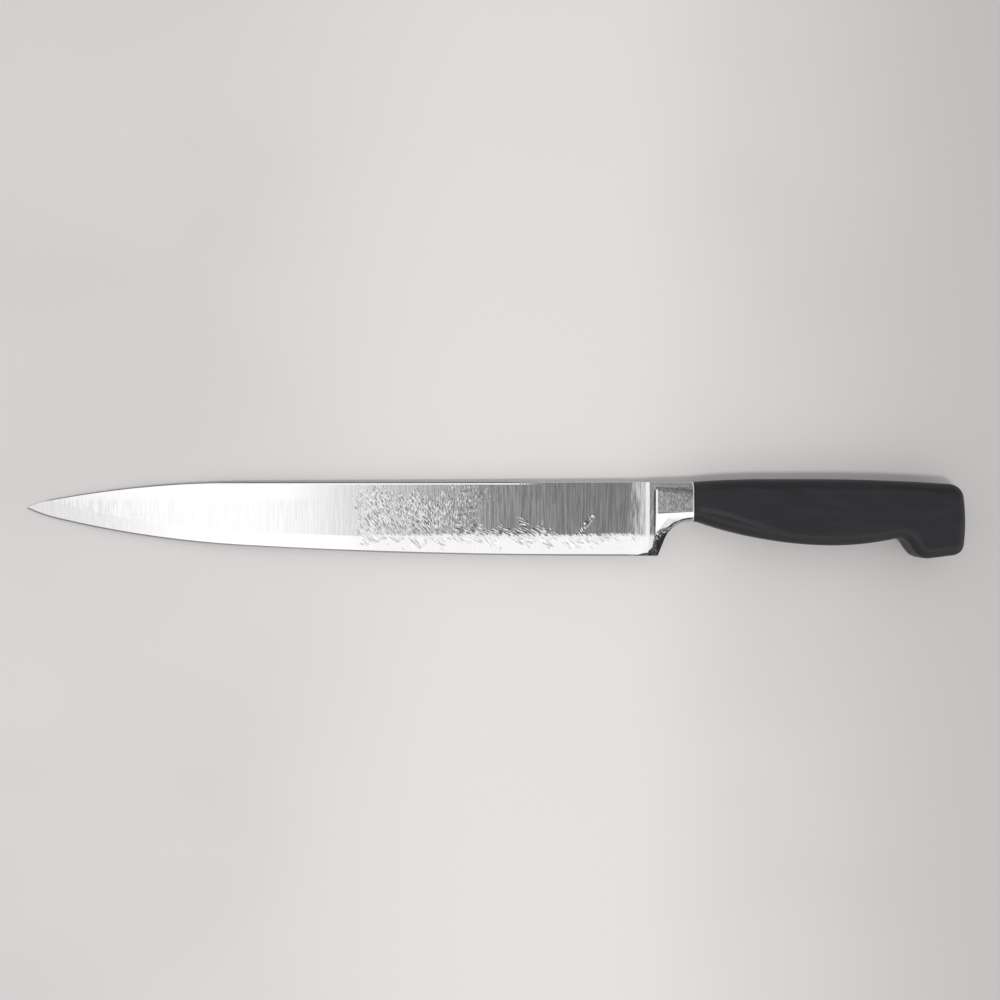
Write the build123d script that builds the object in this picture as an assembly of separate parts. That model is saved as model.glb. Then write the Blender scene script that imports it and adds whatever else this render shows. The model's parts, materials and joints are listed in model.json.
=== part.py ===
from build123d import *
import math
import os

# Carving knife with a full bolster and a moulded handle, in millimetres.
#
# The pieces are drawn in the knife's own axes and laid down on the worktop at the end.
# Own axes: x runs from the tip to the butt with 0 at the joint between bolster and handle,
# y runs from the cutting edge to the spine with 0 on the straight spine, and z runs through
# the thickness with 0 on the middle plane.

# Blade
blade_length = 260.75
blade_height = 30.0
spine_thickness = 2.5
tip_spine_thickness = 1.8
thinning_per_height = 0.03
spine_ease = 0.3
tip_drop = 10.7
# Where the spine and the edge change their bend: a share of the blade's length from the heel,
# and the share of the blade's height that the line has moved by there.
spine_bend_shares = ((0.657, 0.0), (0.960, 0.24))
edge_bend_shares = ((0.137, 0.0), (0.657, 0.127), (0.953, 0.50))

# Edge grind: a broad thinned band and the sharpened edge below it
apex_thickness = 0.08
sharpened_width = 0.6
sharpened_angle = 15.0
band_angle = 5.5
band_reach = 13.0
band_runout_length = 9.0
band_runout_drop = 0.8

# Bolster
collar_height = 16.0
collar_thickness = 16.0
neck_front_thickness = 12.4
neck_underside = 0.25
finger_radius = 11.4
finger_wall_angle = 68.0
guard_foot = 3.8
guard_face_angle = 8.0
guard_face_sink = 0.12
guard_bevel_angle = 52.0
guard_bevel_foot = 0.3
heel_chamfer_height = 2.4
heel_chamfer_width = 3.0
flare_length = 2.5
flare_heel_length = 1.3
flare_bow_share = 0.088
flare_overshoot = 0.5

# Handle
handle_length = 108.25
handle_rise = 1.15
handle_rise_length = 28.0
handle_fall_start = 45.0
butt_drop = 1.15
butt_top_setback = 1.45
butt_heel_setback = 1.15
butt_heel_depth = 29.0
butt_top_radius = 6.0
butt_heel_radius = 4.8
underside_start_length = 3.6
underside_start_drop = 0.65
underside_start_angle = 1.5
belly_place = 52.0
belly_depth = 25.5
hook_length = 17.97
hook_depth = 31.15
hook_radius = 6.0
notch_run = 5.86
notch_depth = 21.9
notch_radius = 5.0
palm_place = 17.0
palm_thickness = 18.0
edge_radius = 4.2

# Layers of the handle: an outer grip moulded over a core that is moulded round the tang
grip_wall = 3.0
spigot_radius = 1.5

# Tang: it ends short of the butt, and the core covers it above and below where it starts
tang_butt_gap = 17.25
tang_thickness = 3.0
tang_root_cover = 0.5
tang_root_sink = 0.2
tang_end_height = 6.5
tang_end_depth = 11.5
tang_corner_radius = 2.0
tang_hole_diameter = 3.6
tang_hole_shares = (0.30, 0.70)

# Every cut runs past the surface that it cuts by this much
overrun = 5.0

# The rest position is searched for in angle steps, on this many places along each edge
steepest_tilt = 10.0
tilt_halvings = 50
edge_samples = 40

# Places that follow from the sizes above
finger_wall = math.radians(finger_wall_angle)
finger_end_depth = collar_height + finger_radius * (1 - math.cos(finger_wall))
finger_wall_length = (blade_height - finger_end_depth) / math.sin(finger_wall)
finger_end_x = -(neck_underside + finger_radius * math.sin(finger_wall))
heel_x = finger_end_x - finger_wall_length * math.cos(finger_wall)
weld_x = heel_x - guard_foot
crest_x = weld_x + flare_length
tip_x = heel_x - blade_length
thinning_per_length = (spine_thickness - tip_spine_thickness) / (weld_x - tip_x)
tang_end_x = handle_length - tang_butt_gap
tang_root_height = collar_height - 2 * (grip_wall + tang_root_cover)
tang_root_depth = collar_height / 2 + tang_root_sink


def both_sides(cutter):
    """A cutter drawn for the upper side, and its mirror image for the lower side."""
    return [cutter, mirror(cutter, about=Plane.XY)]


def level_plane(depth):
    """A plane across the knife at a depth below the spine, with its second axis through the thickness."""
    return Plane(origin=(0, -depth, 0), x_dir=(1, 0, 0), z_dir=(0, -1, 0))


def leaning_plane(side, x, half, slope_x, slope_y):
    """A face that is half a thickness from the middle plane at x and on the spine.

    The half thickness grows by slope_x for each length toward the butt and by slope_y for each
    length toward the spine. The face is the upper one for side 1 and the lower one for side -1.
    """
    return Plane(
        origin=(x, 0, side * half), x_dir=(1, 0, side * slope_x), z_dir=(-slope_x, -slope_y, side)
    )


def sweep_inside(profile, path):
    """Sweeps a profile along a flat path that has the knife's body above it.

    The profile's first values run from the path into the body, its second values upward.
    """
    along = path % 0
    inward = Vector(-along.Y, along.X, 0)
    if inward.Y < 0:
        inward = -inward
    start = Plane(origin=path @ 0, x_dir=inward, z_dir=inward.cross(Vector(0, 0, 1)))
    return sweep(start * profile, path=path, transition=Transition.RIGHT)


# Blade


def blade_half(x, depth):
    """Half of the blade's thickness on its broad flat face."""
    full = spine_thickness - thinning_per_length * (weld_x - x) - thinning_per_height * depth
    return full / 2


def blade_face(side):
    """The blade's broad flat face."""
    slope_x = thinning_per_length / 2
    slope_y = thinning_per_height / 2
    return leaning_plane(side, weld_x, blade_half(weld_x, 0), slope_x, slope_y)


def along_blade(share, depth):
    """A point that lies a share of the blade's length in front of the heel."""
    return (heel_x - share * blade_length, -depth)


def spine_line():
    """The spine from the weld to the tip: straight, then two arcs that fall to the point."""
    (fall_share, _), (drop_share, height_share) = spine_bend_shares
    straight = Line((weld_x, 0), along_blade(fall_share, 0))
    drop_point = along_blade(drop_share, height_share * blade_height)
    fall = TangentArc(straight @ 1, drop_point, tangent=straight % 1)
    nose = TangentArc(fall @ 1, (tip_x, -tip_drop), tangent=fall % 1)
    return [straight, fall, nose]


def edge_line():
    """The cutting edge from the weld to the tip: straight, then three arcs that rise to the point."""
    first_share, _ = edge_bend_shares[0]
    pieces = [Line((weld_x, -blade_height), along_blade(first_share, blade_height))]
    for share, rise_share in edge_bend_shares[1:]:
        bend = along_blade(share, blade_height * (1 - rise_share))
        pieces.append(TangentArc(pieces[-1] @ 1, bend, tangent=pieces[-1] % 1))
    pieces.append(TangentArc(pieces[-1] @ 1, (tip_x, -tip_drop), tangent=pieces[-1] % 1))
    return pieces


def band_half(distance):
    """Half of the thickness on the thinned band, at a distance in from the cutting edge."""
    rise = math.tan(math.radians(sharpened_angle)) * sharpened_width
    band = (distance - sharpened_width) * math.tan(math.radians(band_angle))
    return apex_thickness / 2 + rise + band


def runout_arc():
    """The grind's path near the heel: it bends away below the edge, so that the grind fades out."""
    start = (weld_x - band_runout_length, -blade_height)
    end = (heel_x, -blade_height - band_runout_drop)
    return TangentArc(start, end, tangent=(1, 0))


def grind_cutter():
    """What the grinding takes off the upper side along the cutting edge."""
    edge = edge_line()
    runout = runout_arc()
    straight = Line(runout @ 0, edge[0] @ 1)
    path = Wire([runout, straight] + edge[1:])
    profile = Polyline(
        (-overrun, apex_thickness / 2),
        (0, apex_thickness / 2),
        (sharpened_width, band_half(sharpened_width)),
        (band_reach, band_half(band_reach)),
        (band_reach, overrun),
        (-overrun, overrun),
        close=True,
    )
    return sweep_inside(make_face(profile), path)


def make_blade():
    closing = Line((weld_x, -blade_height), (weld_x, 0))
    outline = make_face(Curve() + spine_line() + edge_line() + [closing])
    body = extrude(outline, spine_thickness, both=True)
    for side in (1, -1):
        body = split(body, bisect_by=blade_face(side), keep=Keep.BOTTOM)
    fall_depth = spine_bend_shares[-1][1] * blade_height

    def on_spine(edge):
        return abs(edge.center().Z) > apex_thickness and edge.center().Y > -fall_depth / 2

    body = fillet([edge for edge in body.edges() if on_spine(edge)], spine_ease)
    for cutter in both_sides(grind_cutter()):
        body -= cutter
    return body


# Bolster


def neck_half(x):
    """Half of the neck's thickness, which grows from the weld to the joint with the handle."""
    return (collar_thickness + (neck_front_thickness - collar_thickness) * x / weld_x) / 2


def runout_drop_at_weld():
    """How far the grind's path has bent away below the edge at the weld."""
    arc = runout_arc()
    run = weld_x - (arc @ 0).X
    return arc.radius - math.sqrt(arc.radius**2 - run**2)


def weld_half(depth):
    """Half of the blade's thickness at the weld, thinned band included."""
    distance = blade_height + runout_drop_at_weld() - depth
    return min(blade_half(weld_x, depth), band_half(distance))


def band_top_depth():
    """Depth at the weld where the thinned band meets the blade's broad flat face."""
    band_slope = math.tan(math.radians(band_angle))
    surplus = band_half(blade_height + runout_drop_at_weld()) - blade_half(weld_x, 0)
    return surplus / (band_slope - thinning_per_height / 2)


def guard_top_depth():
    """Depth at which the guard's faces leave the neck's rounded edge."""
    return collar_height - edge_radius * (1 - math.sin(math.radians(guard_face_angle)))


def guard_half(x, depth):
    """Half of the guard's thickness, which falls from the neck's rounded edge to the heel."""
    angle = math.radians(guard_face_angle)
    top_half = neck_half(x) - edge_radius * (1 - math.cos(angle)) - guard_face_sink
    return top_half - (depth - guard_top_depth()) * math.tan(angle)


def guard_face(side):
    """The guard's broad face, which spreads toward the handle as the neck does."""
    slope_x = neck_half(1) - neck_half(0)
    return leaning_plane(side, 0, guard_half(0, 0), slope_x, math.tan(math.radians(guard_face_angle)))


def flare_outline(root_half, top_half, length):
    """What lies outside the hollow flare at one depth: it rises from the blade's face to the crest."""
    root = Vector(weld_x, root_half)
    top = Vector(weld_x + length, top_half)
    rise = top - root
    middle = (root + top) * 0.5 + Vector(rise.Y, -rise.X) * flare_bow_share
    clear = palm_thickness
    lines = [
        ThreePointArc(root, middle, top),
        Line(top, (top.X, clear)),
        Line((top.X, clear), (weld_x - overrun, clear)),
        Line((weld_x - overrun, clear), (weld_x - overrun, root_half)),
        Line((weld_x - overrun, root_half), root),
    ]
    return make_face(Curve() + lines)


def make_neck():
    """The neck with its rounded long edges, from the weld to the joint with the handle."""
    side = make_face(
        Polyline((weld_x, 0), (0, 0), (0, -collar_height), (weld_x, -collar_height), close=True)
    )
    neck = round_long_edges(bar(side, [Line((weld_x, neck_half(weld_x)), (0, neck_half(0)))]), edge_radius)
    root_half = blade_half(weld_x, 0)
    down_the_blade = Plane(
        origin=(0, 0, root_half), x_dir=(1, 0, 0), z_dir=(0, -1, -thinning_per_height / 2)
    )
    outline = flare_outline(0, neck_half(crest_x) - root_half + flare_overshoot, flare_length)
    flare = extrude(down_the_blade * outline, collar_height + overrun, both=True)
    for cutter in both_sides(flare):
        neck -= cutter
    return neck


def make_guard():
    """The guard below the neck, with the finger curve and the heel."""
    root_depth = guard_top_depth()
    finger = TangentArc(
        (-neck_underside, -collar_height), (finger_end_x, -finger_end_depth), tangent=(-1, 0)
    )
    wall = Line(finger @ 1, (heel_x, -blade_height))
    outline = Polyline(
        (heel_x, -blade_height),
        (weld_x, -blade_height),
        (weld_x, -root_depth),
        (-neck_underside, -root_depth),
        (-neck_underside, -collar_height),
    )
    guard = extrude(make_face(Curve() + [finger, wall, outline]), collar_thickness, both=True)

    for side in (1, -1):
        guard = split(guard, bisect_by=guard_face(side), keep=Keep.BOTTOM)

    below = blade_height + overrun
    band_depth = band_top_depth()
    heel_share = (below - band_depth) / (blade_height - band_depth)
    below_length = flare_length + (flare_heel_length - flare_length) * heel_share
    below_root = weld_half(band_depth) + (weld_half(blade_height) - weld_half(band_depth)) * heel_share
    stations = [
        (root_depth, weld_half(root_depth), flare_length),
        (band_depth, weld_half(band_depth), flare_length),
        (below, below_root, below_length),
    ]
    sections = []
    for depth, root_half, length in stations:
        top_half = guard_half(weld_x + length, depth) + flare_overshoot
        sections.append(level_plane(depth) * flare_outline(root_half, top_half, length))
    for cutter in both_sides(loft(sections, ruled=True)):
        guard -= cutter

    wall_end = (wall @ 1) + (wall % 1) * overrun
    path = Wire(
        [
            Line((0, -collar_height), finger @ 0).edge(),
            finger.edge(),
            Line(finger @ 1, wall_end).edge(),
        ]
    )
    bevel_rise = collar_thickness / 2
    bevel_reach = bevel_rise / math.tan(math.radians(guard_bevel_angle))
    bevel = Polyline(
        (0, guard_bevel_foot),
        (bevel_reach, guard_bevel_foot + bevel_rise),
        (-overrun, guard_bevel_foot + bevel_rise),
        (-overrun, guard_bevel_foot),
        close=True,
    )
    for cutter in both_sides(sweep_inside(make_face(bevel), path)):
        guard -= cutter

    chamfer_foot = guard_half(heel_x, blade_height) - heel_chamfer_width
    chamfer_slope = heel_chamfer_width / heel_chamfer_height
    chamfer = Polyline(
        (-blade_height, chamfer_foot),
        (-blade_height + overrun, chamfer_foot + chamfer_slope * overrun),
        (-blade_height - overrun, chamfer_foot + chamfer_slope * overrun),
        (-blade_height - overrun, chamfer_foot),
        close=True,
    )
    across = extrude(Plane.YZ.offset(weld_x) * make_face(chamfer), guard_foot + overrun)
    for cutter in both_sides(across):
        guard -= cutter
    return guard


def make_spigot():
    """The stub behind the collar that the handle's grip is moulded over."""
    half = collar_thickness / 2 - grip_wall
    top, bottom = -grip_wall, grip_wall - collar_height
    section = make_face(Polyline((top, half), (bottom, half), (bottom, -half), (top, -half), close=True))
    stub = extrude(Plane.YZ * section, grip_wall)
    return fillet(stub.edges().filter_by(Axis.X), spigot_radius)


def make_bolster():
    return make_neck() + make_guard() + make_spigot()


# Handle


def bar(outline, upper_line):
    """A side outline with the thickness that the upper line gives in plan."""
    start = upper_line[0] @ 0
    end = upper_line[-1] @ 1
    lower_line = [mirror(line, about=Plane.XZ) for line in upper_line]
    ends = [Line(start, (start.X, -start.Y)), Line(end, (end.X, -end.Y))]
    plan = make_face(Curve() + upper_line + lower_line + ends)
    reach = blade_height + overrun
    return extrude(outline, palm_thickness, both=True) & extrude(level_plane(0) * plan, reach, both=True)


def round_long_edges(body, radius):
    edges = body.edges()
    long_edges = edges - edges.filter_by(Axis.Y) - edges.filter_by(Axis.Z)
    return fillet(long_edges, radius)


def nearest_vertex(face, x, y):
    return min(face.vertices(), key=lambda v: (v.X - x) ** 2 + (v.Y - y) ** 2)


def handle_side(inset):
    """The handle seen from the side, or the same outline drawn in by an inset."""
    hook_angle = math.atan2(hook_depth - notch_depth, notch_run)
    shift = inset * math.tan(hook_angle / 2)
    butt_top = (handle_length - butt_top_setback - inset, -butt_drop - inset)
    butt_middle = (handle_length - inset, -(butt_drop + butt_heel_depth) / 2)
    butt_heel = (handle_length - butt_heel_setback - inset, inset - butt_heel_depth)
    hook_toe = (handle_length - hook_length + shift, inset - hook_depth)
    notch = (handle_length - hook_length - notch_run + shift, inset - notch_depth)
    front_top = (inset, -inset)
    front_bottom = (inset, inset - collar_height)
    bend = (inset + underside_start_length, inset - collar_height - underside_start_drop)
    start_slope = math.radians(-underside_start_angle)

    rise = TangentArc((handle_rise_length, handle_rise - inset), front_top, tangent=(-1, 0))
    level = Line(rise @ 0, (handle_fall_start, handle_rise - inset))
    fall = TangentArc(level @ 1, butt_top, tangent=(1, 0))
    butt = ThreePointArc(butt_top, butt_middle, butt_heel)
    sole = Line(butt_heel, hook_toe)
    hook = Line(hook_toe, notch)
    under_start = TangentArc(
        front_bottom, bend, tangent=(math.cos(start_slope), math.sin(start_slope))
    )
    belly = TangentArc(bend, (belly_place, inset - belly_depth), tangent=under_start % 1)
    tail = TangentArc(belly @ 1, notch, tangent=belly % 1)
    front = Line(front_bottom, front_top)
    side = make_face(Curve() + [rise, level, fall, butt, sole, hook, tail, belly, under_start, front])
    corners = [
        (butt_top, butt_top_radius - inset),
        (butt_heel, butt_heel_radius - inset),
        (hook_toe, hook_radius - inset),
        (notch, notch_radius + inset),
    ]
    for (x, y), radius in corners:
        side = fillet(nearest_vertex(side, x, y), radius)
    return side


def handle_plan(inset):
    """Half thickness of the handle from the butt to the collar: level along the palm, then drawn in."""
    palm_half = palm_thickness / 2 - inset
    level = Line((handle_length + overrun, palm_half), (palm_place, palm_half))
    narrowing = TangentArc(level @ 1, (0, collar_thickness / 2 - inset), tangent=(-1, 0))
    return [level, narrowing]


def make_handle_body():
    return round_long_edges(bar(handle_side(0), handle_plan(0)), edge_radius)


def make_core_body():
    return bar(handle_side(grip_wall), handle_plan(grip_wall))


def make_tang():
    """The hidden tang: a tapering bar with holes that the core's plastic runs through."""
    start = (grip_wall, -tang_root_depth)
    end = (tang_end_x, -tang_end_depth)
    bar = make_face(
        Polyline(
            (start[0], start[1] + tang_root_height / 2),
            (end[0], end[1] + tang_end_height / 2),
            (end[0], end[1] - tang_end_height / 2),
            (start[0], start[1] - tang_root_height / 2),
            close=True,
        )
    )
    corners = [vertex for vertex in bar.vertices() if vertex.X > (start[0] + end[0]) / 2]
    bar = fillet(corners, tang_corner_radius)
    for share in tang_hole_shares:
        centre = (start[0] + share * (end[0] - start[0]), start[1] + share * (end[1] - start[1]))
        bar -= Pos(*centre) * Circle(tang_hole_diameter / 2)
    return extrude(bar, tang_thickness / 2, both=True)


# Rest on the worktop


def lowest(points, tilt):
    """How far down the points reach once the knife is tilted tip down by an angle."""
    return min(point.X * math.sin(tilt) + point.Z * math.cos(tilt) for point in points)


def rest_tilt(blade_points, handle_points):
    """The angle at which the blade's front and the handle's widest part touch the worktop together."""
    low, high = 0, math.radians(steepest_tilt)
    for _ in range(tilt_halvings):
        tilt = (low + high) / 2
        if lowest(blade_points, tilt) > lowest(handle_points, tilt):
            low = tilt
        else:
            high = tilt
    return (low + high) / 2


blade = make_blade()
bolster = make_bolster()
tang = make_tang()
core_body = make_core_body()
pieces = {
    "blade": blade,
    "bolster": bolster,
    "tang": tang,
    "handle_core": core_body - tang,
    "handle_grip": make_handle_body() - core_body - make_spigot(),
}

shares = [step / edge_samples for step in range(edge_samples + 1)]
blade_points = [edge @ share for edge in blade.edges() for share in shares]
swell = [line @ share for line in handle_plan(0) for share in shares]
handle_points = [Vector(point.X, 0, -point.Y) for point in swell]
lean = Rot(0, -math.degrees(rest_tilt(blade_points, handle_points)), 0)
boxes = [(lean * piece).bounding_box() for piece in pieces.values()]
middle_x = (min(box.min.X for box in boxes) + max(box.max.X for box in boxes)) / 2
middle_y = (min(box.min.Y for box in boxes) + max(box.max.Y for box in boxes)) / 2
bottom_z = min(box.min.Z for box in boxes)
rest = Pos(-middle_x, -middle_y, -bottom_z) * lean

os.makedirs("parts", exist_ok=True)
for name, piece in pieces.items():
    export_step(rest * piece, f"parts/{name}.step")
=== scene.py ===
import json
import math
from collections import namedtuple

import bpy
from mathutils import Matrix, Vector


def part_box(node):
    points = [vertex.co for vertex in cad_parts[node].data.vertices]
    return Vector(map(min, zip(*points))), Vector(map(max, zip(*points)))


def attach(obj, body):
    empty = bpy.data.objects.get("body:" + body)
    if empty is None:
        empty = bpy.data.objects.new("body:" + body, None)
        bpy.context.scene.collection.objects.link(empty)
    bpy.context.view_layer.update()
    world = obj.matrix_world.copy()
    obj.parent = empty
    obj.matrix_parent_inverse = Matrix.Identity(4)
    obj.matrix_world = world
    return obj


# A carving knife that lies on its side on a pale table, seen from straight above.
#
# The frame is in metres: +X runs from the tip to the butt, +Y from the cutting edge to the
# spine and +Z up from the table. The finishes are in millimetres and in the knife's own axes:
# x is 0 where the bolster meets the handle and falls towards the tip, and depth is 0 on the
# spine and grows towards the edge.
#
# Two values in brackets are a smooth step, from where it is nothing to where it is complete,
# and four are a window: where it starts, is full, begins to fade and ends. They stand for
# places, depths, levels of a noise, or how far a face's direction leans along an axis. A pair
# of tones, or of roughness, is what such a step leads to. A grain is the size of a noise's
# features along X, Y and Z, and a relief is the height in millimetres that it gives a surface.

MM = 0.001

# Camera: straight above the photograph's centre
camera_place = Vector((0.00505, 0.0075, 0.450))
camera_focal_share = 1.08286
sensor_width = 36.0

# Light
key_direction = Vector((0.0, -0.20, 1.0))
key_distance = 1.1
key_size = 0.12
key_power = 3.9
sky_diffuse_level = 0.70
backdrop_level = 0.86

# What polished steel reflects, by how far a direction leans from straight up. The sky is bright
# towards the tip and the edge's side, less so far over towards the tip, and dim overhead and on
# the other sides, though less dim low down.
sky_bright_level = 1.25
sky_far_level = 0.80
sky_dim_level = 0.180
sky_low_level = 0.50
sky_far_lean_x = (-0.36, -0.52)
sky_dim_lean_x = (-0.29, -0.06)
sky_dim_lean_y = (-0.18, -0.09)
sky_low_reach = (0.80, 0.97)
sky_least_height = 0.05

# Table
table_size = 4.0
table_colour = (0.69, 0.665, 0.665)
table_cloud_grain = (160.0, 120.0, 160.0)
table_cloud_share = 0.95
# Painted light: the table is paler in the middle, around the knife
table_lit_middle_x = (-130.0, 0.0, 50.0, 120.0)
table_painted_light_share = 1.10
table_right_x = (90.0, 220.0)
table_right_share = 0.80
table_roughness = 0.6
table_specular = 0.2

# Sizes of the knife that the finishes and the rim follow
collar_height = 16.0
collar_half_thickness = 8.0
collar_corner = 4.2
rim_radius = 0.25
rim_x = -0.1
rim_corner_steps = 8
rim_roundness = 3
weld_x = -17.4
crest_x = -14.9
finger_centre_x = -0.25
finger_radius = 11.4
finger_wall_angle = math.radians(68.0)
heel_depth = 30.0

# Values that several finishes share. Most of a noise lies between the levels of noise_middle,
# and nearly all of it between those of noise_whole.
noise_middle = (0.35, 0.65)
noise_whole = (0.3, 0.7)
noise_mean = 0.5
steel_tint = (1.0, 0.985, 0.995, 1.0)
scattered_level = 0.93

# Blade: grind lines across it that fade towards the tip, and a smooth zone by the spine
coarse_line_grain = (0.34, 14.0, 14.0)
coarse_line_levels = (0.34, 0.66)
coarse_line_share = 0.42
fine_line_grain = (0.26, 6.0, 6.0)
line_levels = (0.32, 0.68)
line_tones = (0.82, 0.97)
line_roughness = (0.13, 0.17)
line_relief = 0.0040
line_fading_x = (-150.0, -195.0)
line_share_at_tip = 0.6
smooth_depth = (8.4, 5.6)
smooth_x = (-140.0, -172.0)
smooth_tones = (0.94, 0.98)
blade_anisotropy = 0.6

# Blade: the bevel above the edge and the edge itself, told by how far they lean; the edge is darkened
# by painted shade
bevel_lean = (-0.05, -0.09)
bevel_line_loss = 0.7
bevel_x = (-160.0, -125.0)
bevel_tones = (0.96, 0.79)
edge_lean = (-0.16, -0.24)
edge_shade_tone = 0.30

# Blade: scratches. Size is the width and length of one, turn its angle from the Y axis in
# degrees and strength how clear it is. The windows along x and over the depth say where they
# are. Patches make them uneven and their borders ragged.
Scratches = namedtuple("Scratches", "size turn strength x depth")
nick = Scratches((0.50, 1.2), 35.0, 1.2, (-33.0, -31.5, -30.0, -28.5), (12.0, 15.0, 22.0, 23.5))
nick_slant = 0.7
aslant = Scratches((0.27, 2.3), 40.0, 1.15, (-146.0, -128.0, -112.0, -90.0), (3.0, 9.0, 20.0, 26.0))
flatter = Scratches((0.32, 2.2), 63.0, 1.25, (-104.0, -90.0, -62.0, -50.0), (15.0, 19.5, 23.0, 26.5))
upright = Scratches((0.24, 1.4), 4.0, 0.9, (-146.0, -126.0, -104.0, -62.0), (0.0, 4.0, 16.0, 22.0))
on_bevel = Scratches((0.50, 3.6), 52.0, 2.0, (-143.0, -130.0, -27.0, -19.0), (20.0, 22.0, 22.5, 27.5))
mark_swing = (0.045, 0.105)
patch_grain = (7.0, 5.0, 5.0)
patch_turn = 30.0
patch_levels = (0.34, 0.52)
patch_least = 0.6
patch_border = 3.0
light_mark_level = 0.85
dark_mark_loss = 0.62
dark_mark_loss_on_bevel = 0.38

# Blade: a painted highlight along the bevel's top, drawn ragged like hand sharpening and rising
# towards the bolster
stroke_grain = (0.45, 2.4, 1.0)
stroke_turn = 50.0
stroke_reach = 0.6
lip_depth = (21.35, 21.85)
lip_x = (-142.0, -126.0)
lip_highlight_level = 0.9
lip_rise_x = (-60.0, -19.0)
lip_rise = 0.3

# Blade: a painted highlight over the last millimetres before the bolster, and painted shade in the
# heel's corner
heel_streak_grain = (0.24, 6.0, 6.0)
heel_streak_reach = 2.4
heel_streak_x = (-25.4, -18.4)
heel_streak_level = 0.65
heel_glow_x = (-19.2, -18.2)
heel_corner_x = (-24.0, weld_x)
heel_corner_rise = (0.1, 1.3)
heel_corner_blur = 0.1
corner_shade_loss = 0.93

# Blade: on the front part of the spine, painted shade on the eased corner with a painted highlight
# line beside it
spine_front_x = (-45.0, -60.0)
spine_front_ragged = 30.0
spine_dark_depth = (0.44, 0.32)
spine_dark_lean = (0.2, 0.4)
spine_back_lean = (0.97, 0.85)
spine_light_depth = (0.32, 0.44, 0.88, 1.05)

# Blade: a slightly duller patch near the tip
worn_grain = (0.9, 3.0, 3.0)
worn_levels = (0.46, 0.66)
worn_x = (-268.0, -258.0, -236.0, -205.0)
worn_loss = 0.05

# Bolster: smudges, streaks and pits
smudge_grain = (0.8, 1.6, 1.6)
smudge_levels = (0.36, 0.62)
smudge_tones = (0.56, 0.66)
smudge_height = 0.8
polish_levels = (0.4, 0.6)
polish_roughness = (0.16, 0.26)
neck_streak_grain = (0.40, 3.0, 3.0)
neck_streak_tones = (-0.05, 0.04)
pit_grain = (0.45, 0.45, 0.45)
pit_height = 3.0
bolster_relief = 0.008

# Bolster: on the neck's cheek a crease runs down towards the handle, drawn in painted shade. The
# zones at it are given by how far they lie below the crease, and each loss says how much darker
# the painted shade makes one. The cheek is also darkened as painted shade where it leans.
crease_depth = 3.38
crease_slope = 0.083
crease_line = (-0.22, -0.05, 0.08, 0.28)
crease_loss = 0.74
above_crease = (0.0, -0.3)
above_loss = 0.30
below_crease = (0.7, 1.3)
cheek_bevel_top = (-0.05, 0.1)
cheek_bevel_end = (2.4, 1.8)
cheek_bevel_slope = 0.06
cheek_bevel_loss = 0.36
top_line_depth = (0.50, 0.70, 0.95, 1.15)
top_line_loss = 0.50
cheek_lean = (-0.03, -0.11)
cheek_lean_tone = 0.32

# Bolster: its lower side, brightened as a painted highlight with a painted highlight on its leaning
# facet, whose border falls towards the tip
lower_depth = (11.95, 12.15)
lower_slope = 0.055
facet_lean = (-0.35, -0.55)
facet_highlight_level = 0.8

# Bolster: the flare in front of the neck, darkened as painted shade, with a painted highlight on its
# foot, painted shade on its steep face, and painted highlights on its crest and the weld's line
flare_lean = (-0.40, -0.60)
flare_tones = (0.27, 0.44)
foot_depth = (20.5, 22.5)
foot_highlight_level = 0.8
steep_lean = (-0.92, -0.95)
crest_line_x = (crest_x + 0.8, crest_x + 0.5)
crest_lean = (-0.50, -0.30)
weld_line_x = (weld_x + 0.6, weld_x + 0.3)

# Bolster: the strip along the finger curve and the heel, pitted and painted nearly black
strip_width = 3.1
strip_width_at_turn = 4.6
strip_width_at_neck = 1.75
strip_turn_depth = (28.5, 20.0)
strip_neck_x = (-9.0, -15.0)
strip_heel_width = 0.6
strip_corner = 4.5
strip_blur = 0.15
strip_level = 0.010
speck_level = 0.80
speck_depth = (17.2, 18.8, 23.0, 25.0)
speck_inside = (1.8, 1.1)
speck_limit = 0.68
speck_limit_at_turn = 0.57
under_neck_x = (-8.6, -7.2)
under_neck_width = (1.18, 0.95)
under_neck_level = 0.33

# Rim, core and tang
rim_grain = (0.5, 1.6, 1.6)
rim_tones = (0.90, 0.97)
rim_roughness = (0.30, 0.42)
core_grain = (0.8, 0.8, 0.8)
core_tones = (0.020, 0.045)
core_roughness = (0.5, 0.7)
tang_grain = (3.0, 0.6, 0.6)
tang_tones = (0.30, 0.50)
tang_roughness = (0.35, 0.6)

# Grip: moulded grain, wipe marks, and a painted highlight along the belly
moulded_grain = (0.22, 0.22, 0.22)
moulded_relief = 0.012
wipe_grain = (14.0, 3.0, 3.0)
wipe_turn = -8.0
wipe_gloss_levels = (0.35, 0.7)
wipe_roughness = (0.42, 0.50)
wipe_colour_levels = (0.4, 0.7)
belly_x = (0.0, 42.0)
belly_depths = (11.2, 20.5)
belly_highlight_x = (0.5, 4.0, 18.0, 44.0)
belly_highlight_off_belly = (-1.8, -0.2, 0.0, 1.2)
grip_start_x = (0.9, 0.5)
grip_under_lean = (-0.15, -0.55)
grip_dark = (0.0160, 0.0142, 0.0168, 1.0)
grip_wiped = (0.0200, 0.0180, 0.0210, 1.0)
grip_belly_highlight = (0.0330, 0.0320, 0.0350, 1.0)
grip_shaded = (0.0070, 0.0060, 0.0070, 1.0)
grip_specular = 0.35


def grey(level):
    return (level, level, level, 1.0)


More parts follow.
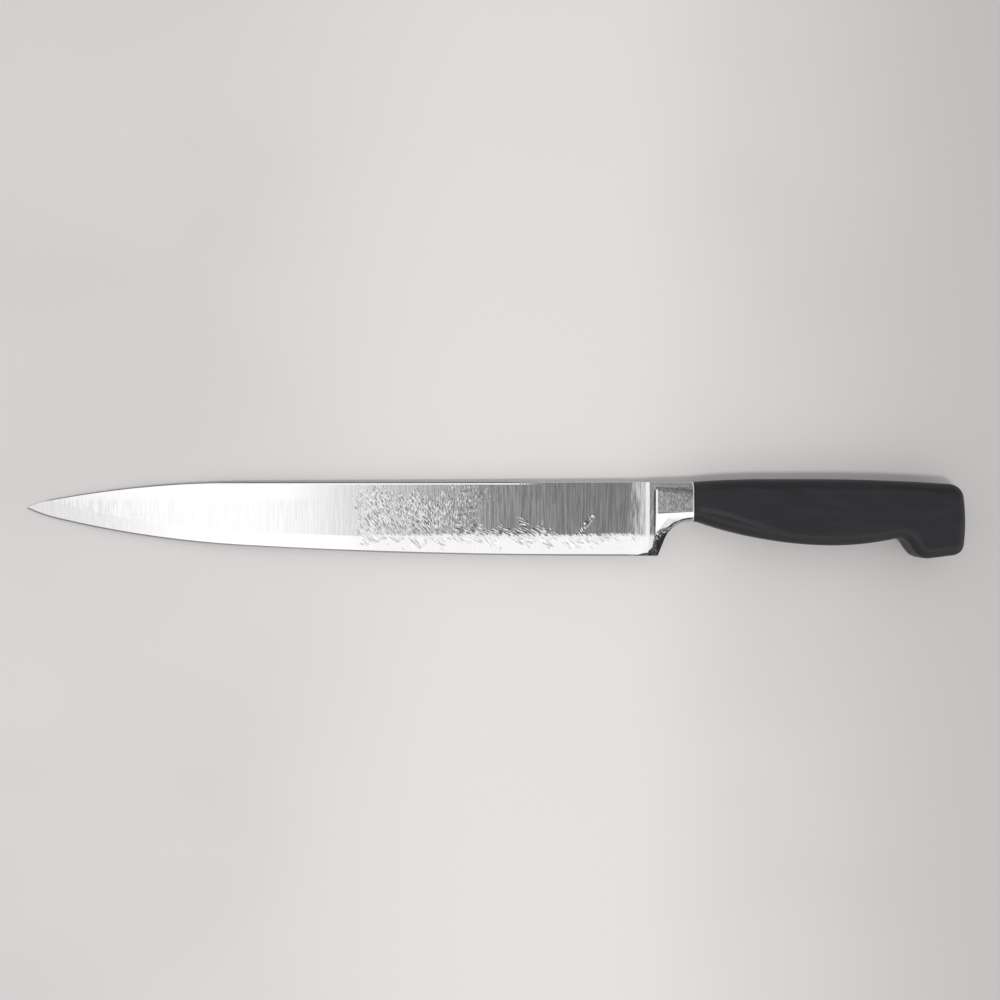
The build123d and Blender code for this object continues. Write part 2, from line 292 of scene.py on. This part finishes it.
class Graph:
    """Short calls for a node tree. Each one adds nodes and gives back their output."""

    def __init__(self, tree):
        self.tree = tree

    def node(self, kind, **settings):
        made = self.tree.nodes.new(kind)
        for name, value in settings.items():
            setattr(made, name, value)
        return made

    def feed(self, socket, value):
        if isinstance(value, bpy.types.NodeSocket):
            self.tree.links.new(value, socket)
        else:
            socket.default_value = value

    def math(self, operation, first, second):
        made = self.node("ShaderNodeMath", operation=operation)
        self.feed(made.inputs[0], first)
        self.feed(made.inputs[1], second)
        return made.outputs[0]

    def fold(self, operation, values):
        """One operation on several values in turn."""
        result = values[0]
        for value in values[1:]:
            result = self.math(operation, result, value)
        return result

    def times(self, *values):
        return self.fold("MULTIPLY", values)

    def plus(self, *values):
        return self.fold("ADD", values)

    def most(self, *values):
        return self.fold("MAXIMUM", values)

    def less(self, first, second):
        return self.math("SUBTRACT", first, second)

    def rest(self, share):
        """What a share leaves of one."""
        return self.less(1.0, share)

    def length(self, first, second):
        squares = [self.math("POWER", side, 2.0) for side in (first, second)]
        return self.math("SQRT", self.plus(*squares), 0.0)

    def ramp(self, value, low, high, to_low=0.0, to_high=1.0):
        """A smooth step from one level to another as the value goes from low to high."""
        made = self.node("ShaderNodeMapRange", interpolation_type="SMOOTHSTEP")
        for socket, given in zip(made.inputs, (value, low, high, to_low, to_high)):
            self.feed(socket, given)
        return made.outputs[0]

    def window(self, value, start, full, fading, end):
        """Rises from start to full, and falls from fading to end."""
        return self.times(self.ramp(value, start, full), self.ramp(value, end, fading))

    def mix(self, share, first, second):
        """A colour between two colours."""
        made = self.node("ShaderNodeMix", data_type="RGBA")
        self.feed(made.inputs[0], share)
        self.feed(made.inputs[6], first)
        self.feed(made.inputs[7], second)
        return made.outputs[2]

    def axes(self, vector):
        made = self.node("ShaderNodeSeparateXYZ")
        self.feed(made.inputs[0], vector)
        return made.outputs

    def along(self, direction, vector):
        made = self.node("ShaderNodeVectorMath", operation="DOT_PRODUCT")
        self.feed(made.inputs[0], vector)
        made.inputs[1].default_value = direction
        return made.outputs["Value"]

    def normal(self):
        return self.axes(self.node("ShaderNodeTexCoord").outputs["Normal"])

    def place(self):
        """The object's own place in millimetres."""
        made = self.node("ShaderNodeVectorMath", operation="SCALE")
        self.feed(made.inputs[0], self.node("ShaderNodeTexCoord").outputs["Object"])
        made.inputs["Scale"].default_value = 1 / MM
        return made.outputs[0]

    def knife_place(self):
        """The knife's own x and its depth below the spine, in millimetres."""
        place = self.place()
        x = self.less(self.along(knife["along"], place), knife["joint"])
        depth = self.less(knife["spine"], self.axes(place)[1])
        return x, depth

    def noise(self, place, grain, detail=2.0, turn=0.0):
        """A noise of a grain size along each axis, turned about Z by an angle in degrees."""
        turned = self.node("ShaderNodeMapping", vector_type="TEXTURE")
        self.feed(turned.inputs["Vector"], place)
        turned.inputs["Rotation"].default_value = (0, 0, math.radians(turn))
        turned.inputs["Scale"].default_value = grain
        made = self.node("ShaderNodeTexNoise")
        self.feed(made.inputs["Vector"], turned.outputs[0])
        made.inputs["Scale"].default_value = 1.0
        made.inputs["Detail"].default_value = detail
        return made.outputs[0]

    def bump(self, height, relief):
        """Relief in millimetres for a height of one."""
        made = self.node("ShaderNodeBump")
        made.inputs["Distance"].default_value = relief * MM
        self.feed(made.inputs["Height"], height)
        return made.outputs[0]


def new_material(name):
    """A new material, its graph and the inputs of its shader."""
    material = bpy.data.materials.new(name)
    material.use_nodes = True
    graph = Graph(material.node_tree)
    return material, graph, material.node_tree.nodes["Principled BSDF"].inputs


def knife_axes(frame):
    """The knife's own axes in the frame, in millimetres.

    Along and through are directions, and joint and middle are where the grip starts along the one
    and has its middle along the other. Spine is the spine's place on the frame's Y axis.
    """
    mounts = {mount["name"]: mount for mount in frame["record"]["mounts"]}
    along = -Vector(mounts["block_slot"]["axis"]).normalized()
    through = Vector((-along.z, 0.0, along.x))
    points = [vertex.co / MM for vertex in frame["nodes"]["handle_grip"].data.vertices]
    heights = [point.dot(through) for point in points]
    return {
        "along": along,
        "through": through,
        "joint": min(point.dot(along) for point in points),
        "spine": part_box("blade")[1][1] / MM,
        "middle": (min(heights) + max(heights)) / 2,
    }


def knife_point(x, depth, height):
    """A point of the frame, in metres, from the knife's own x, depth and height in millimetres."""
    point = knife["along"] * (knife["joint"] + x) + knife["through"] * (knife["middle"] + height)
    return Vector((point.x, knife["spine"] - depth, point.z)) * MM


# Materials


def grind_lines(graph, place):
    """All grind lines across the blade, and the fine ones alone."""
    coarse = graph.ramp(graph.noise(place, coarse_line_grain), *coarse_line_levels)
    fine = graph.noise(place, fine_line_grain, detail=1.0)
    fine_share = 1.0 - coarse_line_share
    lines = graph.plus(graph.times(coarse, coarse_line_share), graph.times(fine, fine_share))
    return lines, fine


def marks(graph, place, scratches, amount):
    """Fine light lines and dark ones. They thin out where the amount is low."""
    noise = graph.noise(place, (*scratches.size, 1.0), detail=1.0, turn=scratches.turn)
    swing = graph.times(graph.less(noise, noise_mean), amount)
    least, full = mark_swing
    return graph.ramp(swing, least, full), graph.ramp(swing, -least, -full)


def blade_scratches(graph, place, x, depth, bevel):
    """The light and the dark scratches of every kind."""
    patches = graph.noise(place, patch_grain, turn=patch_turn)
    patchy = graph.ramp(patches, *patch_levels, patch_least, 1.0)
    ragged = graph.plus(depth, graph.ramp(patches, *noise_whole, -patch_border, patch_border))
    slanted = graph.plus(x, graph.times(depth, nick_slant))
    layers = (
        (nick, slanted, depth, 1.0),
        (aslant, x, ragged, patchy),
        (flatter, x, ragged, 1.0),
        (upright, x, ragged, patchy),
        (on_bevel, x, ragged, bevel),
    )
    light, dark = 0.0, 0.0
    for scratches, along, down, share in layers:
        there = graph.times(graph.window(along, *scratches.x), graph.window(down, *scratches.depth))
        amount = graph.times(there, share, scratches.strength)
        more_light, more_dark = marks(graph, place, scratches, amount)
        light = graph.most(light, more_light)
        dark = graph.most(dark, more_dark)
    return light, dark


def bevel_top_highlight(graph, place, x, depth, bevel):
    """A ragged painted highlight that runs along the bevel's top."""
    strokes = graph.noise(place, stroke_grain, detail=1.0, turn=stroke_turn)
    reach = graph.ramp(strokes, *noise_middle, -stroke_reach, stroke_reach)
    risen = graph.plus(depth, graph.plus(reach, graph.ramp(x, *lip_rise_x, 0.0, lip_rise)))
    lip = graph.times(graph.ramp(risen, *lip_depth), graph.ramp(x, *lip_x))
    return graph.times(lip, graph.rest(bevel), lip_highlight_level)


def heel_highlight(graph, place, x):
    """A painted highlight over the zone at the bolster, streaked where it begins."""
    streaks = graph.noise(place, heel_streak_grain, detail=1.0)
    reach = graph.ramp(streaks, *noise_middle, -heel_streak_reach, heel_streak_reach)
    streaked = graph.ramp(graph.plus(x, reach), *heel_streak_x)
    return graph.most(graph.ramp(x, *heel_glow_x), graph.times(streaked, heel_streak_level))


def heel_corner_shade(graph, x, depth):
    """Painted shade in the heel's corner, which reaches higher towards the bolster."""
    risen = graph.plus(depth, graph.ramp(x, *heel_corner_x, *heel_corner_rise))
    return graph.ramp(risen, heel_depth - heel_corner_blur, heel_depth + heel_corner_blur)


def spine_shade_and_highlight(graph, x, depth, lean, fine):
    """The painted highlight line and the painted shade on the eased corner, on the front part of the
    spine.
    """
    front = graph.ramp(graph.plus(x, graph.times(fine, spine_front_ragged)), *spine_front_x)
    light = graph.times(graph.window(depth, *spine_light_depth), front)
    corner = graph.most(graph.ramp(depth, *spine_dark_depth), graph.ramp(lean, *spine_dark_lean))
    dark = graph.times(corner, front, graph.ramp(lean, *spine_back_lean))
    return light, dark


def blade_tone(graph, place, x, lines, smooth, bevel):
    """How bright the ground steel is before scratches: zone by zone, and worn near the tip."""
    plain = graph.ramp(lines, *line_levels, *smooth_tones)
    tone = graph.mix(smooth, graph.ramp(lines, *line_levels, *line_tones), plain)
    tone = graph.mix(bevel, tone, graph.times(plain, graph.ramp(x, *bevel_x, *bevel_tones)))
    dull = graph.ramp(graph.noise(place, worn_grain, detail=3.0), *worn_levels)
    worn = graph.times(dull, graph.window(x, *worn_x))
    return graph.less(tone, graph.times(worn, worn_loss))


def blade_steel():
    """Ground steel with a bright bevel, scratched and wiped over its middle, with painted highlights
    and painted shade.
    """
    material, graph, shader = new_material("blade_steel")
    place = graph.place()
    x, depth = graph.knife_place()
    lean = graph.normal()[1]
    bevel = graph.ramp(lean, *bevel_lean)
    smooth = graph.times(graph.ramp(depth, *smooth_depth), graph.ramp(x, *smooth_x))

    lines, fine = grind_lines(graph, place)
    light, dark = blade_scratches(graph, place, x, depth, bevel)
    lip = bevel_top_highlight(graph, place, x, depth, bevel)
    spine_light, spine_dark = spine_shade_and_highlight(graph, x, depth, lean, fine)

    # The grind lines as relief and gloss
    ground = graph.times(graph.rest(smooth), graph.rest(graph.times(bevel, bevel_line_loss)))
    ground = graph.times(ground, graph.ramp(x, *line_fading_x, 1.0, line_share_at_tip))
    graph.feed(shader["Normal"], graph.bump(graph.times(lines, ground), line_relief))
    graph.feed(shader["Roughness"], graph.ramp(lines, *noise_middle, *line_roughness))

    # The steel's tone, with painted shade on the edge, and where it scatters light instead of
    # mirroring it: the light scratches, and the painted highlights at the bevel's top, the heel and
    # the spine
    dark_loss = graph.ramp(bevel, 0.0, 1.0, dark_mark_loss, dark_mark_loss_on_bevel)
    tone = blade_tone(graph, place, x, lines, smooth, bevel)
    tone = graph.times(tone, graph.rest(graph.times(dark, dark_loss)))
    tone = graph.times(tone, graph.ramp(lean, *edge_lean, 1.0, edge_shade_tone))
    glow = heel_highlight(graph, place, x)
    scattering = graph.most(graph.times(light, light_mark_level), lip, glow, spine_light)
    steel = graph.mix(tone, grey(0.0), steel_tint)
    steel = graph.mix(scattering, steel, grey(scattered_level))

    # Painted shade in the corners at the heel and on the spine
    corner = heel_corner_shade(graph, x, depth)
    shade = graph.rest(graph.times(graph.most(corner, spine_dark), corner_shade_loss))
    graph.feed(shader["Base Color"], graph.mix(shade, grey(0.0), steel))
    graph.feed(shader["Metallic"], graph.rest(scattering))

    # Lines across the blade draw reflections out along it
    shader["Anisotropic"].default_value = blade_anisotropy
    along_blade = graph.node("ShaderNodeCombineXYZ")
    along_blade.inputs[0].default_value = 1.0
    graph.feed(shader["Tangent"], along_blade.outputs[0])
    return material


def from_finger_curve(graph, x, depth):
    """How far a place lies from the finger curve and its straight wall, in millimetres."""
    from_x = graph.less(x, finger_centre_x)
    from_depth = graph.less(depth, collar_height + finger_radius)
    from_arc = graph.less(graph.length(from_x, from_depth), finger_radius)
    sine, cosine = math.sin(finger_wall_angle), math.cos(finger_wall_angle)
    along_wall = graph.less(graph.times(from_depth, sine), graph.times(from_x, cosine))
    off_wall = graph.plus(graph.times(from_x, sine), graph.times(from_depth, cosine))
    from_wall = graph.less(graph.times(off_wall, -1.0), finger_radius)
    below = graph.math("GREATER_THAN", along_wall, 0.0)
    return graph.plus(from_arc, graph.times(below, graph.less(from_wall, from_arc)))


def dark_strip(graph, x, depth, from_curve):
    """The rough strip, and how far a place lies inside its inner border."""
    wide = graph.ramp(depth, *strip_turn_depth, strip_width, strip_width_at_turn)
    wider = graph.times(graph.ramp(x, *strip_neck_x), graph.less(wide, strip_width_at_neck))
    width = graph.plus(strip_width_at_neck, wider)
    from_heel = graph.less(heel_depth, depth)
    into_strip = graph.most(graph.less(graph.plus(width, strip_corner), from_curve), 0.0)
    into_heel = graph.most(graph.less(strip_heel_width + strip_corner, from_heel), 0.0)
    reach = graph.length(into_strip, into_heel)
    strip = graph.ramp(reach, strip_corner - strip_blur, strip_corner + strip_blur)
    return strip, graph.less(width, from_curve)


def cheek_painted_shade(graph, x, depth, from_crease, plain, lean):
    """The neck's cheek in painted shade: the crease, the bevel under it, the zone above it, the top
    line, and where it leans.
    """
    line = graph.window(from_crease, *crease_line)
    slanted = graph.less(from_crease, graph.times(x, cheek_bevel_slope))
    bevel = graph.times(graph.ramp(from_crease, *cheek_bevel_top),
                        graph.ramp(slanted, *cheek_bevel_end))
    above = graph.ramp(from_crease, *above_crease)
    top_line = graph.window(depth, *top_line_depth)
    zones = (line, bevel, above, top_line)
    losses = (crease_loss, cheek_bevel_loss, above_loss, top_line_loss)
    loss = graph.most(*[graph.times(zone, share) for zone, share in zip(zones, losses)])
    return graph.times(plain, graph.rest(loss), graph.ramp(lean, *cheek_lean, 1.0, cheek_lean_tone))


def bolster_steel():
    """Forged steel, polished but smudged, with painted shade and painted highlights on the neck, its
    lower side and the flare, and pitted and painted nearly black where the finger lies.
    """
    material, graph, shader = new_material("bolster_steel")
    place = graph.place()
    lean_x, lean_y, _ = graph.normal()
    x, depth = graph.knife_place()
    from_curve = from_finger_curve(graph, x, depth)
    strip, inside = dark_strip(graph, x, depth, from_curve)

    smudges = graph.noise(place, smudge_grain, detail=3.0)
    streaks = graph.noise(place, neck_streak_grain, detail=1.0)
    pits = graph.noise(place, pit_grain)
    relief = graph.plus(graph.times(smudges, smudge_height), graph.times(pits, strip, pit_height))
    graph.feed(shader["Normal"], graph.bump(relief, bolster_relief))
    graph.feed(shader["Roughness"], graph.ramp(smudges, *polish_levels, *polish_roughness))

    # The cheek, and the side below it with its painted highlight
    plain = graph.ramp(smudges, *smudge_levels, *smudge_tones)
    plain = graph.plus(plain, graph.ramp(streaks, *noise_middle, *neck_streak_tones))
    from_crease = graph.less(depth, graph.plus(graph.times(x, crease_slope), crease_depth))
    tone = cheek_painted_shade(graph, x, depth, from_crease, plain, lean_y)
    lower = graph.ramp(graph.plus(depth, graph.times(x, lower_slope)), *lower_depth)
    tone = graph.mix(lower, tone, grey(scattered_level))
    facet = graph.times(lower, graph.ramp(lean_y, *facet_lean), facet_highlight_level)

    # The flare in painted shade, with a painted highlight on its foot, painted shade on its steep
    # face, and painted highlights on its crest and the weld's line
    flare = graph.ramp(lean_x, *flare_lean)
    foot = graph.ramp(depth, *foot_depth)
    flare_tone = graph.ramp(streaks, *noise_middle, *flare_tones)
    tone = graph.mix(flare, tone, graph.mix(foot, flare_tone, grey(scattered_level)))
    foot_highlight = graph.times(flare, foot, foot_highlight_level)
    below = graph.ramp(from_crease, *below_crease)
    steep = graph.times(graph.ramp(lean_x, *steep_lean), below)
    crest = graph.times(graph.ramp(x, *crest_line_x), graph.ramp(lean_x, *crest_lean), below)
    crest = graph.most(crest, graph.ramp(x, *weld_line_x))

    # The dark strip: white specks where it turns, and grey between two black lines under the neck
    turn = graph.times(graph.window(depth, *speck_depth), graph.ramp(inside, *speck_inside))
    limit = graph.ramp(turn, 0.0, 1.0, speck_limit, speck_limit_at_turn)
    specks = graph.math("GREATER_THAN", pits, limit)
    under_neck = graph.times(graph.ramp(x, *under_neck_x), graph.ramp(from_curve, *under_neck_width))
    rough = graph.mix(specks, grey(strip_level), grey(speck_level))
    rough = graph.mix(under_neck, rough, grey(under_neck_level))

    scattering = graph.most(crest, facet, foot_highlight, graph.times(specks, strip))
    scattering = graph.times(scattering, graph.rest(steep))
    scattering = graph.most(scattering, graph.times(under_neck, strip))
    polished = graph.mix(tone, grey(0.0), steel_tint)
    polished = graph.mix(crest, polished, grey(scattered_level))
    graph.feed(shader["Base Color"], graph.mix(graph.most(strip, steep), polished, rough))
    graph.feed(shader["Metallic"], graph.rest(scattering))
    return material


def speckled(name, grain, tones, levels, roughness, detail=2.0):
    """A grey material whose tone and roughness follow one noise."""
    material, graph, shader = new_material(name)
    noise = graph.noise(graph.place(), grain, detail=detail)
    graph.feed(shader["Base Color"], graph.mix(noise, grey(tones[0]), grey(tones[1])))
    graph.feed(shader["Roughness"], graph.ramp(noise, *levels, *roughness))
    return material, shader


def rim_steel():
    """The collar's bare rounded rim, polished bright by the hand."""
    material, shader = speckled("rim_steel", rim_grain, rim_tones, noise_middle, rim_roughness)
    shader["Metallic"].default_value = 1.0
    return material


def core_plastic():
    """The handle's hidden core, as moulded."""
    return speckled("core_plastic", core_grain, core_tones, noise_whole, core_roughness)[0]


def tang_steel():
    """The hidden tang, as forged."""
    values = (tang_grain, tang_tones, noise_whole, tang_roughness)
    material, shader = speckled("tang_steel", *values, detail=3.0)
    shader["Metallic"].default_value = 1.0
    return material


def grip_plastic():
    """Matte black plastic with wipe marks, with painted shade where it starts and where it leans
    towards the edge's side, and a painted highlight along the belly.
    """
    material, graph, shader = new_material("grip_plastic")
    place = graph.place()
    x, depth = graph.knife_place()

    moulded = graph.noise(place, moulded_grain)
    wipes = graph.noise(place, wipe_grain, detail=3.0, turn=wipe_turn)
    graph.feed(shader["Normal"], graph.bump(moulded, moulded_relief))
    graph.feed(shader["Roughness"], graph.ramp(wipes, *wipe_gloss_levels, *wipe_roughness))

    off_belly = graph.less(depth, graph.ramp(x, *belly_x, *belly_depths))
    belly_highlight = graph.times(graph.window(off_belly, *belly_highlight_off_belly), graph.window(x, *belly_highlight_x))
    under = graph.ramp(graph.normal()[1], *grip_under_lean)
    shaded = graph.most(under, graph.ramp(x, *grip_start_x))
    colour = graph.mix(graph.ramp(wipes, *wipe_colour_levels), grip_dark, grip_wiped)
    colour = graph.mix(shaded, colour, grip_shaded)
    graph.feed(shader["Base Color"], graph.mix(belly_highlight, colour, grip_belly_highlight))
    shader["Specular IOR Level"].default_value = grip_specular
    return material


def table_tone(share):
    """The table's colour at a share of its brightness."""
    return (*[share * level for level in table_colour], 1.0)


def table_top():
    """A pale table of slightly uneven tone, paler in the middle as painted light, and darker at the
    right.
    """
    material, graph, shader = new_material("table_top")
    place = graph.place()
    x = graph.axes(place)[0]
    clouds = graph.ramp(graph.noise(place, table_cloud_grain), *noise_middle)
    tone = graph.mix(clouds, table_tone(1.0), table_tone(table_cloud_share))
    tone = graph.mix(graph.window(x, *table_lit_middle_x), tone, table_tone(table_painted_light_share))
    tone = graph.mix(graph.ramp(x, *table_right_x), tone, table_tone(table_right_share))
    graph.feed(shader["Base Color"], tone)
    shader["Roughness"].default_value = table_roughness
    shader["Specular IOR Level"].default_value = table_specular
    return material


def dress(node, material):
    node.data.materials.clear()
    node.data.materials.append(material)


# Pieces


def collar_outline():
    """The collar's rounded outline at the joint, as depths and heights."""
    points = []
    middle_depth = collar_height / 2
    corners = ((1, 1), (-1, 1), (-1, -1), (1, -1))
    for number, (down, up) in enumerate(corners):
        centre_depth = middle_depth + down * (collar_height / 2 - collar_corner)
        centre_height = up * (collar_half_thickness - collar_corner)
        for step in range(rim_corner_steps + 1):
            angle = math.pi / 2 * (number + step / rim_corner_steps)
            depth = centre_depth + (collar_corner - rim_radius / 2) * math.cos(angle)
            height = centre_height + (collar_corner - rim_radius / 2) * math.sin(angle)
            points.append((depth, height))
    return points


def add_rim():
    """The rounded rim of the collar where the handle's plastic ends."""
    points = [knife_point(rim_x, depth, height) for depth, height in collar_outline()]
    curve = bpy.data.curves.new("collar_rim", "CURVE")
    curve.dimensions = "3D"
    curve.bevel_depth = rim_radius * MM
    curve.bevel_resolution = rim_roundness
    spline = curve.splines.new("POLY")
    spline.points.add(len(points) - 1)
    for target, point in zip(spline.points, points):
        target.co = (*point, 1.0)
    spline.use_cyclic_u = True
    spline.use_smooth = True
    rim = bpy.data.objects.new("collar_rim", curve)
    bpy.context.scene.collection.objects.link(rim)
    dress(rim, rim_steel())
    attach(rim, "root")


# Stage


def add_table():
    half = table_size / 2
    mesh = bpy.data.meshes.new("table_top")
    corners = [(-half, -half, 0), (half, -half, 0), (half, half, 0), (-half, half, 0)]
    mesh.from_pydata(corners, [], [(0, 1, 2, 3)])
    table = bpy.data.objects.new("table_top", mesh)
    bpy.context.scene.collection.objects.link(table)
    dress(table, table_top())


def sky_level(graph):
    """The sky's level in each direction, as polished steel shows it."""
    x, y, z = graph.axes(graph.node("ShaderNodeTexCoord").outputs["Generated"])
    upward = graph.most(z, sky_least_height)
    lean_x = graph.math("DIVIDE", x, upward)
    lean_y = graph.math("DIVIDE", y, upward)
    bright = graph.ramp(lean_x, *sky_far_lean_x, sky_bright_level, sky_far_level)
    dim = graph.ramp(graph.length(x, y), *sky_low_reach, sky_dim_level, sky_low_level)
    share = graph.times(graph.ramp(lean_x, *sky_dim_lean_x), graph.ramp(lean_y, *sky_dim_lean_y))
    return graph.plus(bright, graph.times(share, graph.less(dim, bright)))


def add_sky():
    """The room: one level that lights the table, one behind the scene, and the sky in the steel."""
    world = bpy.data.worlds.new("studio")
    bpy.context.scene.world = world
    world.use_nodes = True
    graph = Graph(world.node_tree)
    background = world.node_tree.nodes["Background"].inputs
    rays = graph.node("ShaderNodeLightPath").outputs
    shown = graph.most(rays["Is Glossy Ray"], rays["Is Transmission Ray"])
    level = graph.mix(shown, grey(sky_diffuse_level), sky_level(graph))
    graph.feed(background["Color"], graph.mix(rays["Is Camera Ray"], level, grey(backdrop_level)))


def add_key_light():
    """A small lamp that casts the soft shadow. The steel doesn't show it."""
    light = bpy.data.lights.new("key", "AREA")
    light.shape = "DISK"
    light.size = key_size
    light.energy = key_power
    lamp = bpy.data.objects.new("key", light)
    lamp.visible_glossy = False
    lamp.location = key_direction.normalized() * key_distance
    lamp.rotation_euler = key_direction.to_track_quat("Z", "Y").to_euler()
    bpy.context.scene.collection.objects.link(lamp)


def add_camera():
    camera = bpy.data.cameras.new("camera")
    camera.sensor_width = sensor_width
    camera.lens = sensor_width * camera_focal_share
    eye = bpy.data.objects.new("camera", camera)
    eye.location = camera_place
    bpy.context.scene.collection.objects.link(eye)
    bpy.context.scene.camera = eye


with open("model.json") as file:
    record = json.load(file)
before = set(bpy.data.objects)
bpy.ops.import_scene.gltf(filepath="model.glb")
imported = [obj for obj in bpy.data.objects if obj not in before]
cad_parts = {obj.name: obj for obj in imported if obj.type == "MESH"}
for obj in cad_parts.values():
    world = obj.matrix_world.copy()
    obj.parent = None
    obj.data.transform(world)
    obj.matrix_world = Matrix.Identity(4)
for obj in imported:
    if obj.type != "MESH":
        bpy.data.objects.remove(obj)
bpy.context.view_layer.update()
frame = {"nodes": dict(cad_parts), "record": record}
nodes = frame["nodes"]
knife = knife_axes(frame)
dress(nodes["blade"], blade_steel())
dress(nodes["bolster"], bolster_steel())
dress(nodes["tang"], tang_steel())
dress(nodes["handle_core"], core_plastic())
dress(nodes["handle_grip"], grip_plastic())

add_rim()
add_table()
add_sky()
add_key_light()
add_camera()
bpy.context.scene.view_settings.view_transform = "Standard"
